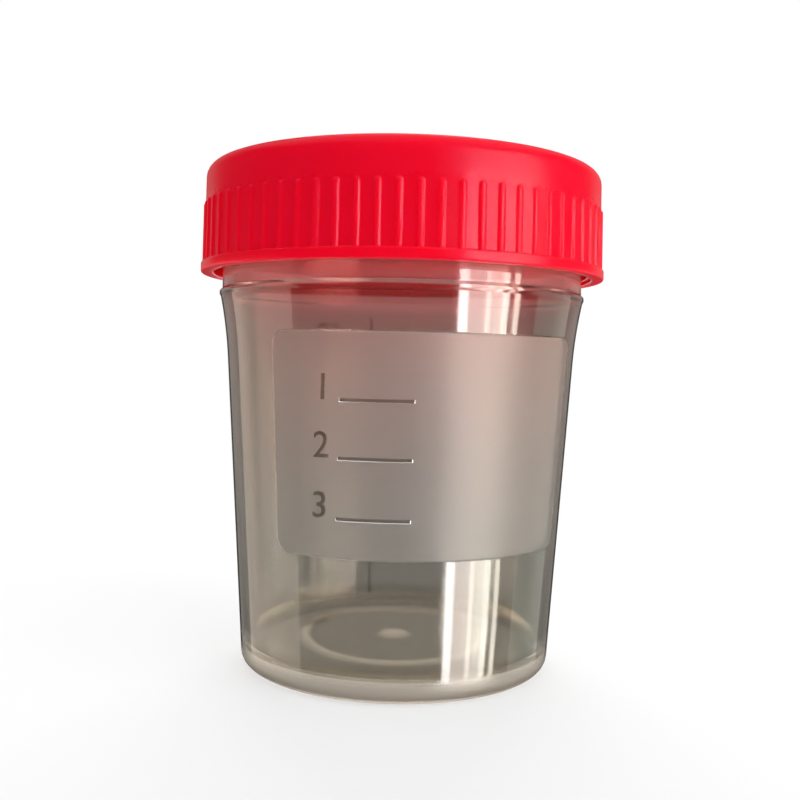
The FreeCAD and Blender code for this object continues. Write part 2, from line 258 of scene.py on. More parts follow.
panel_rows = crowd(PANEL_LOW - 2 * FINE, PANEL_LOW + PANEL_CORNER, FINE)
panel_rows += crowd(PANEL_HIGH - PANEL_CORNER, PANEL_HIGH + 2 * FINE, FINE)
plain_rows = crowd(FOOT_ROUNDING + PLAIN_ROW, SHOULDER, PLAIN_ROW) + crowd(SHOULDER, BEAD_LOW, FLARE_ROW)
wall_rows = sorted(panel_rows + [z for z in plain_rows if min(abs(z - p) for p in panel_rows) > FINE])

fine_turn = FINE / FOOT_RADIUS
edge_columns = crowd(PANEL_HALF_ARC - PANEL_CORNER / FOOT_RADIUS, PANEL_HALF_ARC + 2 * fine_turn, fine_turn)
edge_columns = [PANEL_MIDDLE + side * turn for side in (-1, 1) for turn in edge_columns]
cup_columns = sorted(
    [angle % (2 * math.pi) for angle in edge_columns]
    + [
        angle
        for angle in evenly_round(PLAIN_COLUMN)
        if min(abs(turned_from(edge, angle)) for edge in edge_columns) > fine_turn
    ]
)
print(f"{len(wall_rows)} rows on the wall, {len(cup_columns)} columns")

# %% [markdown]
# ## The cup
#
# The real cup is one injection moulding: a ring foot round a sunk floor, the thin leaning wall, the
# flared shoulder, a fine bead where the two halves of the mould met, a plain neck and the rim. Inside,
# the floor carries a low round rib and the little dome where the plastic was let in. It could be put
# together from cylinders and rings, but clear plastic shows every joint, so one outline walks round the
# whole section: from the middle of the underside, up the outside, over the rim and down the inside.

# %% Sizes of the cup's section
FOOT_INSIDE = FOOT_RADIUS - FOOT_ROUNDING - FOOT_LAND
RING_RADIUS, RING_WIDTH, RING_RISE = 12.3 * MM, 1.8 * MM, 0.5 * MM
RING_INSIDE, RING_OUTSIDE = RING_RADIUS - RING_WIDTH / 2, RING_RADIUS + RING_WIDTH / 2
NUB_RADIUS, NUB_RISE = 2.3 * MM, 0.7 * MM
GUARD = 0.15 * MM
RIM_ROUNDING = 0.25 * MM
FLOOR_ROUNDING = 1.4 * MM
MOUTH_EASING = 8 * MM
SOFT = 0.12 * MM


def wall_line(heights, inset=0.0):
    return [(float(wall_radius(z)) - inset, z) for z in heights]


nub_shares = (0.8, 0.6, 0.4, 0.2, 0.0)
nub_curve = [(NUB_RADIUS * share, FLOOR_TOP + NUB_RISE * (1 - share**2)) for share in nub_shares]
flare_rows = [SHOULDER] + [z for z in wall_rows if z > SHOULDER + FLARE_ROW / 4]
bead_nose = FLARE_END + BEAD_RISE
bead_third = (BEAD_TOP - BEAD_LOW) / 3
floor_bands = [NUB_RADIUS, NUB_RADIUS + GUARD, RING_INSIDE - GUARD, RING_INSIDE]
floor_bands += [RING_OUTSIDE, RING_OUTSIDE + GUARD]
print(f"floor ring from radius {RING_INSIDE / MM:.2f} to {RING_OUTSIDE / MM:.2f} mm")

# %% The cup's section
cup_corners = [
    (0, FLOOR_UNDERSIDE),
    *[(radius, FLOOR_UNDERSIDE) for radius in floor_bands],
    (FOOT_INSIDE - FLOOR_UNDERSIDE, FLOOR_UNDERSIDE, 0.4 * MM),
    (FOOT_INSIDE, 0, 0.3 * MM),
    (FOOT_RADIUS, 0, FOOT_ROUNDING),
    *wall_line([z for z in flare_rows if z < BEAD_LOW - FLARE_ROW / 2]),
    (FLARE_END, BEAD_LOW, SOFT),
    (bead_nose, BEAD_LOW + bead_third, SOFT),
    (bead_nose, BEAD_LOW + 2 * bead_third, SOFT),
    (NECK_RADIUS, BEAD_TOP, SOFT),
    (NECK_RADIUS, RIM_TOP, RIM_ROUNDING),
    (MOUTH_RADIUS, RIM_TOP, RIM_ROUNDING),
    (MOUTH_RADIUS, BEAD_LOW, MOUTH_EASING),
    *wall_line(crowd(SHOULDER, BEAD_LOW - 2 * MM, 1 * MM)[::-1], WALL),
    (float(wall_radius(FLOOR_TOP)) - WALL, FLOOR_TOP, FLOOR_ROUNDING),
    (RING_OUTSIDE + GUARD + FLOOR_ROUNDING, FLOOR_TOP),
    (RING_OUTSIDE + GUARD, FLOOR_TOP),
    (RING_OUTSIDE, FLOOR_TOP, SOFT),
    (RING_RADIUS + RING_WIDTH / 6, FLOOR_TOP + RING_RISE, SOFT),
    (RING_RADIUS - RING_WIDTH / 6, FLOOR_TOP + RING_RISE, SOFT),
    (RING_INSIDE, FLOOR_TOP, SOFT),
    (RING_INSIDE - GUARD, FLOOR_TOP),
    (NUB_RADIUS + GUARD, FLOOR_TOP),
    (NUB_RADIUS, FLOOR_TOP, SOFT),
    *nub_curve,
]
cup_outline = rounded_outline(cup_corners)
rim_at = max(range(len(cup_outline)), key=lambda index: cup_outline[index][1])
cup_outline = divided(cup_outline[:rim_at], wall_rows) + cup_outline[rim_at:]
cup = lathe("container_cup", cup_outline, cup_columns, raise_panel)

# %% [markdown]
# ## Where the plastic looks different
#
# The panel is etched, and the foot's rounding is a little matte. The floor's ring and dome, its inner
# corner and the underside are made pale. Thick plastic there looks milkier, and on top of that painted light
# is added, strongest on the ridges' tops, where the real ones catch the light. A painted texture could say
# so, but each of these places follows from the section. So every point of the skin gets two numbers, worked
# out from where it lies, and the material reads them later. Such numbers fade from point to point, so the
# floor has guard rows close beside the ring and the dome.

# %% Two numbers on every point of the cup
MATTE_FOOT, MATTE_SHARE = 3.4 * MM, 2.0
RIDGE_FOOT_PALE, RIDGE_TOP_PALER = 0.25, 0.6
CORNER_PALE, UNDERSIDE_PALE = 0.5, 0.9

x, y, z = np.array([vertex.co for vertex in cup.data.vertices]).T
reach = np.hypot(x, y)
outside = reach > wall_radius(z) - WALL / 2
over_floor = z < FLOOR_TOP + 0.7 * FLOOR_ROUNDING
over_ridge = (np.abs(reach - RING_RADIUS) < (RING_WIDTH + GUARD) / 2) | (reach < NUB_RADIUS + GUARD / 2)
in_corner = (reach > FOOT_RADIUS - WALL - 1.5 * FLOOR_ROUNDING) & ~outside
underneath = (z < FLOOR_UNDERSIDE + SOFT) & (reach < FOOT_INSIDE)
on_foot = outside & (reach > FOOT_INSIDE)

# Paler ring, dome, floor corner and underside, more so on the ridges' tops. This is partly milky thick
# plastic and partly painted light.
raised = np.clip((z - FLOOR_TOP) / RING_RISE, 0, 1)
milk_and_painted_light = np.maximum((RIDGE_FOOT_PALE + RIDGE_TOP_PALER * raised) * over_ridge, CORNER_PALE * in_corner)
milk_and_painted_light = np.maximum(milk_and_painted_light * over_floor, UNDERSIDE_PALE * underneath)
matte = MATTE_SHARE * np.clip(1 - z / MATTE_FOOT, 0, 1) * on_foot
frosted = np.maximum(panel_share(z, np.arctan2(y, x)) * outside, matte)
for name, share in (("frosted", frosted), ("milk_and_painted_light", milk_and_painted_light)):
    mark = cup.data.attributes.new(name, "FLOAT", "POINT")
    mark.data.foreach_set("value", share.astype(np.float32))
    print(f"{name}: {np.mean(share > 0.2):.0%} of the cup's points")

# %% [markdown]
# ## Raised marks on the wall
#
# The scale's line, its ticks and all the numbers are cut into the mould, so they stand out of the wall as
# fine ridges. A bump in the material would be quicker, but it has no sides for the light to catch. So
# they are drawn flat first, as on a strip of paper: x runs round the wall, y is the height and z the
# rise. The flat drawing is then sliced into narrow strips, so that it can bend, and rolled onto the wall.

# %% Draw flat marks
MARK_WIDTH = 0.35 * MM
MARK_RISE = 0.15 * MM
MARK_ROOT = 0.05 * MM
MARK_BEVEL = 0.04 * MM
NUMBER_BEVEL = 0.03 * MM
CAPITAL_SHARE = 0.72
STRIP = 0.6 * MM


def flat_bar(drawing, x0, x1, y0, y1):
    """A bar with sloping sides, narrower on top as a moulded mark has to be."""
    low = [drawing.verts.new((x, y, -MARK_ROOT)) for x, y in ((x0, y0), (x1, y0), (x1, y1), (x0, y1))]
    mid = [drawing.verts.new((v.co.x, v.co.y, MARK_RISE - MARK_BEVEL)) for v in low]
    edge = MARK_BEVEL * 1.5
    x0, x1, y0, y1 = x0 + edge, x1 - edge, y0 + edge, y1 - edge
    top = [drawing.verts.new((x, y, MARK_RISE)) for x, y in ((x0, y0), (x1, y0), (x1, y1), (x0, y1))]
    drawing.faces.new(low[::-1])
    drawing.faces.new(top)
    for ring, upper in ((low, mid), (mid, top)):
        for index in range(4):
            drawing.faces.new((ring[index - 1], ring[index], upper[index], upper[index - 1]))


def flat_number(drawing, text, x, y, height, align):
    """A number as a raised slab with a small bevel; x is its left, middle or right edge and y its middle."""
    curve = bpy.data.curves.new("number", "FONT")
    curve.body, curve.size, curve.resolution_u = text, height / CAPITAL_SHARE, 3
    curve.extrude, curve.bevel_depth, curve.offset = MARK_RISE / 2, NUMBER_BEVEL, -NUMBER_BEVEL
    curve.align_x, curve.align_y = align, "CENTER"
    holder = add_object("number", curve)
    bpy.context.view_layer.update()
    mesh = bpy.data.meshes.new_from_object(holder.evaluated_get(bpy.context.evaluated_depsgraph_get()))
    mesh.transform(Matrix.Translation((x, y, MARK_RISE / 2 - MARK_ROOT / 2)))
    drawing.from_mesh(mesh)
    bpy.data.objects.remove(holder)
    bpy.data.curves.remove(curve)
    bpy.data.meshes.remove(mesh)


# %% Roll a flat drawing onto the wall
def roll_onto_wall(name, drawing, middle, lift=0.0):
    """Bend a flat drawing onto the cup, its x = 0 at the middle direction."""
    bmesh.ops.remove_doubles(drawing, verts=drawing.verts, dist=0.002 * MM)
    for axis in (0, 1):
        places = [vertex.co[axis] for vertex in drawing.verts]
        for place in crowd(min(places) + STRIP, max(places) - STRIP / 2, STRIP * (1 + axis)):
            cut, normal = Vector(), Vector()
            cut[axis], normal[axis] = place, 1
            parts = drawing.verts[:] + drawing.edges[:] + drawing.faces[:]
            bmesh.ops.bisect_plane(drawing, geom=parts, plane_co=cut, plane_no=normal, dist=1e-7)
    for vertex in drawing.verts:
        along, height, rise = vertex.co
        radius = float(wall_radius(height))
        angle = middle + along / radius
        radius += rise + lift
        vertex.co = (radius * math.cos(angle), radius * math.sin(angle), height)
    bmesh.ops.recalc_face_normals(drawing, faces=drawing.faces)
    mesh = bpy.data.meshes.new(name)
    drawing.to_mesh(mesh)
    drawing.free()
    piece = add_object(name, mesh)
    print(f"{name}: {len(mesh.polygons)} faces")
    return piece


# %% [markdown]
# ## Where the scale's marks go
#
# The marks could be measured from a drawing one by one, but worked out from the volume they belong to
# this very cup. Its inside is a cone cut off at the floor. The volume up to a level grows with the cube
# of the radius there, so the level of any volume is a cube root away. The highest mark, 60 ml, fixes the
# rest: millilitres go to the right of the line and fluid ounces to the left.

# %% The scale
FULL_LEVEL = 45.0 * MM
FULL_ML = 60
ML_PER_OUNCE = 29.5735
SCALE_LOW, SCALE_OVER = 3.2 * MM, 2.6 * MM
NUMBER_HEIGHT = 3.2 * MM
NUMBER_GAP = 0.8 * MM
LONG_TICK = 3 * MM
TICKS = [
    ((20, 40, 60), 1, 4.3 * MM),
    ((10, 30, 50), 1, 2.3 * MM),
    ((1, 2), ML_PER_OUNCE, -3.3 * MM),
    ((0.5, 1.5), ML_PER_OUNCE, -2.0 * MM),
]


def level_of(millilitres):
    floor_edge = float(wall_radius(FLOOR_TOP)) - WALL
    full_edge = floor_edge + (FULL_LEVEL - FLOOR_TOP) * math.tan(DRAFT)
    cube = floor_edge**3 + millilitres / FULL_ML * (full_edge**3 - floor_edge**3)
    return FLOOR_TOP + (cube ** (1 / 3) - floor_edge) / math.tan(DRAFT)


drawing = bmesh.new()
half = MARK_WIDTH / 2
flat_bar(drawing, -half, half, SCALE_LOW, FULL_LEVEL + SCALE_OVER)
for volumes, unit, length in TICKS:
    for volume in volumes:
        level = level_of(volume * unit)
        flat_bar(drawing, min(length, 0), max(length, 0), level - half, level + half)
        if abs(length) > LONG_TICK:
            side = math.copysign(1, length)
            align = "LEFT" if side > 0 else "RIGHT"
            flat_number(drawing, str(volume), length + side * NUMBER_GAP, level, NUMBER_HEIGHT, align)
scale = roll_onto_wall("scale_marks", drawing, math.pi / 2)

# %% [markdown]
# ## What stands on the panel
#
# Whoever writes on the panel needs a line to start on. Three rows are raised in the mould, each a plain
# number with a short rule behind it. Printed rows would need an image, and these are cut like the scale,
# so they are drawn flat and rolled on in the same way, standing on the panel's raised face.

# %% Rows on the panel
ROW_LEVELS = (37.4 * MM, 30.6 * MM, 23.5 * MM)
ROW_START, RULE_START, ROW_END = -14.9 * MM, -11.7 * MM, -2.9 * MM
RULE_WIDTH = 0.45 * MM

drawing = bmesh.new()
for number, level in enumerate(ROW_LEVELS, start=1):
    flat_number(drawing, str(number), ROW_START, level, NUMBER_HEIGHT, "LEFT")
    rule_level = level - NUMBER_HEIGHT / 2
    flat_bar(drawing, RULE_START, ROW_END, rule_level, rule_level + RULE_WIDTH)
panel_marks = roll_onto_wall("panel_marks", drawing, PANEL_MIDDLE, PANEL_RISE)

# %% [markdown]
# ## Node trees from Python
#
# A thread follows a path and the grip ribs repeat, so both are Geometry Nodes trees, and both plastics
# are shader trees. In a script a tree is mostly bookkeeping: make a node, set its options, join its
# sockets. A builder does that for every kind of tree, and a small class round each socket overloads the
# operators, so that the mixes and the ribs' measures read as plain sums.

# %% A value in a node tree
class Term:
    """A value in a node tree. Sums and products with it add Math nodes."""

    def __init__(self, builder, socket):
        self.builder, self.socket = builder, socket

    def combine(self, operation, *others):
        values = dict(enumerate((self, *others)))
        return self.builder.node("ShaderNodeMath", values, operation=operation)

    def __add__(self, other):
        return self.combine("ADD", other)

    def __sub__(self, other):
        return self.combine("SUBTRACT", other)

    def __mul__(self, other):
        return self.combine("MULTIPLY", other)

    def __truediv__(self, other):
        return self.combine("DIVIDE", other)

    def __rsub__(self, other):
        return self.builder.node("ShaderNodeMath", {0: other, 1: self}, operation="SUBTRACT")

    __radd__, __rmul__ = __add__, __mul__


# %% A builder for every kind of tree
class Builder:
    """Makes and joins the nodes of one tree."""

    def node(self, kind, sockets=None, output=0, **settings):
        """A new node: what its sockets get, which output is wanted, and its options."""
        made = self.tree.nodes.new(kind)
        for key, value in settings.items():
            setattr(made, key, value)
        for key, value in (sockets or {}).items():
            if isinstance(value, Term):
                self.tree.links.new(value.socket, made.inputs[key])
            else:
                made.inputs[key].default_value = value
        return Term(self, made.outputs[output])

    def parts_of(self, vector):
        """The x, y and z of a vector."""
        split = self.node("ShaderNodeSeparateXYZ", {0: vector}).socket.node
        return [Term(self, part) for part in split.outputs]

    def fade(self, value, start, stop, kind="LINEAR"):
        """0 up to the start, 1 from the stop on, and rising between them."""
        limits = {"Value": value, "From Min": start, "From Max": stop}
        return self.node("ShaderNodeMapRange", limits, interpolation_type=kind)


# %% [markdown]
# A geometry tree gets its sizes as named inputs, as a modifier in the panel would show them. At its end
# it realizes what was made and gives it its material, and the result becomes a plain mesh without a
# modifier.

# %% A helper for geometry trees
class Shaping(Builder):
    """A Geometry Nodes tree with named inputs, given as names and sizes."""

    def __init__(self, name, sizes):
        self.tree = bpy.data.node_groups.new(name, "GeometryNodeTree")
        add = self.tree.interface.new_socket
        add("Geometry", in_out="INPUT", socket_type="NodeSocketGeometry")
        self.places = {}
        for label, value in sizes.items():
            kind = "NodeSocketInt" if isinstance(value, int) else "NodeSocketFloat"
            self.places[label] = add(label, in_out="INPUT", socket_type=kind).identifier
        self.places["Material"] = add("Material", in_out="INPUT", socket_type="NodeSocketMaterial").identifier
        add("Geometry", in_out="OUTPUT", socket_type="NodeSocketGeometry")
        self.sizes = sizes
        self.inputs = self.tree.nodes.new("NodeGroupInput")

    def __getitem__(self, label):
        return Term(self, self.inputs.outputs[label])

    def shape(self, piece, geometry, material):
        """Finish the tree, run it on the piece and leave a plain mesh behind."""
        real = self.node("GeometryNodeRealizeInstances", {"Geometry": geometry})
        painted = {"Geometry": real, "Material": self["Material"]}
        painted = self.node("GeometryNodeSetMaterial", painted)
        self.tree.links.new(painted.socket, self.tree.nodes.new("NodeGroupOutput").inputs["Geometry"])
        modifier = piece.modifiers.new(self.tree.name, "NODES")
        modifier.node_group = self.tree
        for label, value in {**self.sizes, "Material": material}.items():
            modifier[self.places[label]] = value
        bpy.context.view_layer.update()
        seen = bpy.context.evaluated_depsgraph_get()
        mesh = bpy.data.meshes.new_from_object(piece.evaluated_get(seen), depsgraph=seen)
        piece.modifiers.remove(modifier)
        piece.data = mesh
        mesh.name = piece.name
        print(f"{piece.name}: {len(mesh.polygons)} faces after {self.tree.name}")
        return piece


# %% [markdown]
# A shader tree keeps coming back to the same few things: where a point lies, a number stored on it, soft
# spots, a colour that runs with the height, and mixes. Each gets a method with a plain name.

# %% A helper for shader trees
class Finish(Builder):
    """The shader tree of a material or a world."""

    def __init__(self, owner):
        owner.use_nodes = True
        self.owner, self.tree = owner, owner.node_tree
        self.tree.nodes.clear()

    def place(self):
        return self.node("ShaderNodeTexCoord", output=3)

    def mark(self, name):
        """A number stored on the points of the skin."""
        return self.node("ShaderNodeAttribute", output=2, attribute_name=name)

    def noise(self, scale, detail):
        """Soft spots, smaller with a larger scale."""
        sockets = {"Vector": self.place(), "Scale": scale, "Detail": detail}
        return self.node("ShaderNodeTexNoise", sockets)

    def ramp(self, value, stops):
        """A colour that runs through the stops as the value rises."""
        ramp = self.node("ShaderNodeValToRGB", {0: value})
        elements = ramp.socket.node.color_ramp.elements
        while len(elements) < len(stops):
            elements.new(0.5)
        for element, (place, tint) in zip(elements, stops):
            element.position, element.color = place, tint
        return ramp

    def bump(self, relief, strength, distance):
        sockets = {"Height": relief, "Strength": strength, "Distance": distance}
        return self.node("ShaderNodeBump", sockets)

    def blend(self, share, first, second):
        """A colour between two others."""
        sockets = {"Factor": share, 6: first, 7: second}
        return self.node("ShaderNodeMix", sockets, output=2, data_type="RGBA")

    def mix(self, share, first, second):
        """A shader between two others."""
        return self.node("ShaderNodeMixShader", {0: share, 1: first, 2: second})

    def glow(self, tint):
        return self.node("ShaderNodeEmission", {"Color": tint, "Strength": 1.0})

    def ray(self, name):
        """What kind of ray looks, or how often it has bounced."""
        return self.node("ShaderNodeLightPath", output=name)

    def end(self, shader, kind="ShaderNodeOutputMaterial"):
        out = self.tree.nodes.new(kind)
        self.tree.links.new(shader.socket, out.inputs["Surface"])
        return self.owner


def colour(red, green, blue):
    return (red, green, blue, 1.0)


# %% [markdown]
# ## The cup's plastic
#
# Polypropylene is clear only in thin walls: it has a smoky cast and a slight haze, and its gloss shows
# long upright reflections that waver a little with the flow of the melt. A plain glass shader would do
# for the wall, but not for the rest, so three shaders are mixed:
#
# - A clear one, rougher where the panel is etched. Its tint follows the height: it is darker at the very
#   foot, and it warms to pink up the wall and neck, which is painted red light from the lid. It darkens
#   towards the edges, where the eye looks through more plastic.
# - A chalky one, which scatters light to both sides, for the panel, the foot and the hazy strip of neck
#   between bead and lid. Its colour warms at the panel's top and turns pink on the neck, which is painted
#   red light from the lid.
# - A see-through one for the ring, the dome, the floor's corner and the underside, which look pale. This is
#   partly the milkier look of thick plastic and partly painted light, strongest on the ridges' tops.

# %% Colours and shares of the cup's plastic
# Clear tint from foot to rim. It is darker at the very foot, and the warm and pink stops from 0.60 up are
# painted red light from the lid.
SMOKE_AND_PAINTED_RED_LIGHT = [
    (0.055, colour(0.27, 0.245, 0.20)),
    (0.08, colour(0.43, 0.415, 0.38)),
    (0.30, colour(0.43, 0.41, 0.375)),
    (0.60, colour(0.48, 0.39, 0.35)),
    (0.70, colour(0.51, 0.355, 0.33)),
    (0.745, colour(0.53, 0.32, 0.305)),
    (0.78, colour(0.85, 0.46, 0.45)),
    (0.80, colour(0.85, 0.46, 0.45)),
    (0.84, colour(0.80, 0.73, 0.68)),
]
# Etched and chalky tint from foot to rim. It is darker at the very foot, and the warming near the panel's top
# and the pink from 0.76 up are painted red light from the lid.
FROST_AND_PAINTED_RED_LIGHT = [
    (0.06, colour(0.22, 0.19, 0.155)),
    (0.25, colour(0.50, 0.48, 0.445)),
    (0.45, colour(0.54, 0.475, 0.44)),
    (0.68, colour(0.66, 0.50, 0.445)),
    (0.76, colour(1.0, 0.42, 0.41)),
]
MILKY = colour(1.0, 0.95, 0.88)
EDGE_SHADE, EDGE_SHARE = colour(0.10, 0.08, 0.07), 0.45
EDGE_FROM, EDGE_TO = 1.5 * MM, 4 * MM
PANEL_CHALK, NECK_CHALK = 0.30, 0.24
NECK_FADE, LID_FADE = 0.4 * MM, 2 * MM

# %% The cup's tint
finish = Finish(bpy.data.materials.new("smoky_polypropylene"))
frost, height = finish.mark("frosted"), finish.parts_of(finish.place())[2]
flow, haze, grain = finish.noise(90.0, 2.0), finish.noise(420.0, 3.0), finish.noise(5200.0, 2.0)
# Both tints run with the height, and their pink near the lid is painted red light from the lid.
level = finish.fade(height, 0.0, RIM_TOP)
etched = finish.ramp(level, FROST_AND_PAINTED_RED_LIGHT)
base = finish.blend(frost, finish.ramp(level, SMOKE_AND_PAINTED_RED_LIGHT), etched)
mottled = {0: base, "Scale": 0.97 + 0.06 * haze}
base = finish.node("ShaderNodeVectorMath", mottled, operation="SCALE")
facing = finish.node("ShaderNodeLayerWeight", {"Blend": 0.35}, output=1)
edge = facing * facing * finish.fade(height, EDGE_FROM, EDGE_TO)
base = finish.blend(edge * EDGE_SHARE, base, EDGE_SHADE)

# %% Its clear, chalky and see-through parts
bump = finish.bump(0.25 * flow + 0.006 * frost * grain, 0.35, 0.4 * MM)
clear = finish.node(
    "ShaderNodeBsdfPrincipled",
    {
        "Base Color": base,
        "Roughness": 0.06 + 0.03 * haze + 0.36 * frost + 0.05 * frost * grain,
        "IOR": 1.49,
        "Transmission Weight": 0.96,
        "Normal": bump,
    },
)
near = finish.node("ShaderNodeBsdfDiffuse", {"Color": etched, "Normal": bump})
through = finish.node("ShaderNodeBsdfTranslucent", {"Color": etched, "Normal": bump})
chalk = finish.mix(0.4, near, through)
under_lid = finish.fade(height, LID_LOW, LID_LOW + LID_FADE)
# The neck's chalky haze takes the pink top of the etched ramp, which is painted red light from the lid.
neck = finish.fade(height, BEAD_TOP, BEAD_TOP + NECK_FADE) * (1 - under_lid)
shader = finish.mix(PANEL_CHALK * frost + NECK_CHALK * neck, clear, chalk)
# The pale places let white show through. This is partly milky thick plastic and partly painted light.
see_through = finish.node("ShaderNodeBsdfTransparent", {"Color": MILKY})
cup_plastic = finish.end(finish.mix(finish.mark("milk_and_painted_light"), shader, see_through))
for piece in (cup, scale, panel_marks):
    piece.data.materials.append(cup_plastic)
print(f"{cup_plastic.name}: {len(cup_plastic.node_tree.nodes)} nodes")

# %% [markdown]
# ## The lid's plastic
#
# The lid is softer polyethylene in a strong warm red. A plain red coat would leave hard black shadows
# beside the ribs. In the real plastic light sinks in a little before it comes back, so the shader has
# some subsurface scattering. Its gloss is low and slightly uneven, and softer still on the plain band
# above the ribs.

# %% Red polyethylene
SATIN_FROM, SATIN_TO = LID_TOP - 6 * MM, LID_TOP - 3 * MM

finish = Finish(bpy.data.materials.new("red_polyethylene"))
cloud, speck = finish.noise(160.0, 3.0), finish.noise(1800.0, 2.0)
satin = finish.fade(finish.parts_of(finish.place())[2], SATIN_FROM, SATIN_TO)
shader = finish.node(
    "ShaderNodeBsdfPrincipled",
    {
        "Base Color": finish.blend(cloud, colour(0.93, 0.002, 0.018), colour(0.99, 0.004, 0.028)),
        "Roughness": 0.19 + 0.08 * satin + 0.06 * cloud + 0.05 * speck,
        "IOR": 1.51,
        "Specular IOR Level": 0.13,
        "Specular Tint": colour(1.0, 0.7, 0.95),
        "Subsurface Weight": 1.0,
        "Subsurface Radius": (1.0, 0.15, 0.10),
        "Subsurface Scale": 2.5 * MM,
        "Normal": finish.bump(0.5 * cloud + 0.08 * speck, 0.3, 0.1 * MM),
    },
)
lid_plastic = finish.end(shader)
print(f"{lid_plastic.name}: {len(lid_plastic.node_tree.nodes)} nodes")

# %% [markdown]
# ## The threads
#
# Neck and lid each carry one turn and a half of a coarse thread. It is too fine for the CAD model, but it
# shows when the lid is off. A Screw modifier would end it as bluntly as a cut rope. In a geometry tree, a
# spiral curve gives the path and a trapezoid its section, and the section shrinks near both ends, so that
# the thread runs out into the wall as a mould maker cuts it.

# %% One tree for both threads
THREAD_PITCH, THREAD_TURNS, THREAD_STEPS = 4.0 * MM, 1.5, 120
THREAD_RISE, THREAD_ROOT = 0.8 * MM, 0.1 * MM
THREAD_FOOT, THREAD_CREST = 1.5 * MM, 0.6 * MM
THREAD_RUN_OUT = 0.08
THREAD_LOW = 54.4 * MM
THREAD_GAP = 1.9 * MM


def make_thread(name, radius, low, outwards, material):
    """A thread ridge standing on a round wall, outwards from the neck or inwards from the lid."""
    sizes = {
        "Radius": radius,
        "Low": low,
        "Turns": THREAD_TURNS,
        "Climb": THREAD_PITCH * THREAD_TURNS,
        "Foot": THREAD_FOOT,
        "Crest": THREAD_CREST,
        "Run Out": THREAD_RUN_OUT,
    }
    tree = Shaping(name, sizes)
    path = tree.node(
        "GeometryNodeCurveSpiral",
        {
            "Resolution": THREAD_STEPS,
            "Rotations": tree["Turns"],
            "Start Radius": tree["Radius"],
            "End Radius": tree["Radius"],
            "Height": tree["Climb"],
        },
    )
    rise = tree.node("ShaderNodeCombineXYZ", {"Z": tree["Low"]})
    path = tree.node("GeometryNodeSetPosition", {"Geometry": path, "Offset": rise})
    path = tree.node("GeometryNodeSetCurveNormal", {"Curve": path}, mode="Z_UP")
    along = tree.node("GeometryNodeSplineParameter", output="Factor")
    width = (along.combine("MINIMUM", 1 - along) / tree["Run Out"]).combine("MINIMUM", 1.0)
    section = tree.node(
        "GeometryNodeCurvePrimitiveQuadrilateral",
        {
            "Height": THREAD_RISE + THREAD_ROOT,
            "Bottom Width": tree["Foot"],
            "Top Width": tree["Crest"],
            "Offset": 0.0,
        },
        mode="TRAPEZOID",
    )
    turn = math.pi / 2 if outwards else -math.pi / 2
    turned = {"Geometry": section, "Rotation": (0.0, 0.0, turn)}
    section = tree.node("GeometryNodeTransform", turned)
    swept = {"Curve": path, "Profile Curve": section, "Fill Caps": True, "Scale": width}
    ridge = tree.node("GeometryNodeCurveToMesh", swept)
    return tree.shape(add_object(name, bpy.data.meshes.new(name)), ridge, material)


thread_middle = (THREAD_RISE - THREAD_ROOT) / 2
neck_thread = make_thread("neck_thread", NECK_RADIUS + thread_middle, THREAD_LOW, True, cup_plastic)

# %% [markdown]
# ## The lid
#
# The lid is a shallow cap: flat top with a rounded edge, a skirt that ends in a slightly wider flange
# and, inside, a thin ring that plugs the mouth. A cylinder with bevels would give the outside only. The
# section turned like the cup's gives both sides at once, with rows on the skirt where the ribs will rise.

# %% The lid's section
TOP_THICKNESS = 1.55 * MM
TOP_ROUNDING = 1.7 * MM
THREAD_ROOM = 1.25 * MM
SKIRT_WALL = 1.22 * MM
SKIRT_DRAFT = math.radians(0.4)
FLANGE_HEIGHT = 1.3 * MM
SEAL_GAP, SEAL_WALL, SEAL_DEPTH, SEAL_LEAD = 0.2 * MM, 0.8 * MM, 2.2 * MM, 0.3 * MM
RIB_COUNT = 70
RIB_TOP = LID_TOP - 5.05 * MM
RIB_RISE = 0.25 * MM
RIB_WIDTH = 0.95 * MM
RIB_FLANK = 0.3 * MM
RIB_STEP_BACK = 0.06 * MM

BORE_RADIUS = NECK_RADIUS + THREAD_ROOM
SKIRT_RADIUS = BORE_RADIUS + SKIRT_WALL
FLANGE_TOP = LID_LOW + FLANGE_HEIGHT
upper_radius = SKIRT_RADIUS - (LID_TOP - FLANGE_TOP) * math.tan(SKIRT_DRAFT)
seal_outside = MOUTH_RADIUS - SEAL_GAP
seal_inside = seal_outside - SEAL_WALL
seat = LID_TOP - TOP_THICKNESS
lid_corners = [
    (0, seat),
    (seal_inside, seat, 0.3 * MM),
    (seal_inside, seat - SEAL_DEPTH, 0.2 * MM),
    (seal_outside - SEAL_LEAD, seat - SEAL_DEPTH, 0.1 * MM),
    (seal_outside, seat - SEAL_DEPTH + SEAL_LEAD, 0.1 * MM),
    (seal_outside, seat, SOFT),
    (BORE_RADIUS, seat, SOFT),
    (BORE_RADIUS, LID_LOW, 0.15 * MM),
    (FLANGE_RADIUS, LID_LOW, 0.25 * MM),
    (FLANGE_RADIUS, FLANGE_TOP, 0.2 * MM),
    (SKIRT_RADIUS, FLANGE_TOP, SOFT),
    (upper_radius, LID_TOP, TOP_ROUNDING),
    (0, LID_TOP),
]
grip_rows = crowd(FLANGE_TOP + 0.3 * MM, RIB_TOP - 1.0 * MM, 1.0 * MM)
grip_rows += crowd(RIB_TOP - 0.8 * MM, RIB_TOP + 0.3 * MM, 0.1 * MM)
lid_outline = rounded_outline(lid_corners)
skirt_from = next(index for index, (r, z) in enumerate(lid_outline) if r > BORE_RADIUS + WALL / 2)
lid_outline = lid_outline[:skirt_from] + divided(lid_outline[skirt_from:], grip_rows)
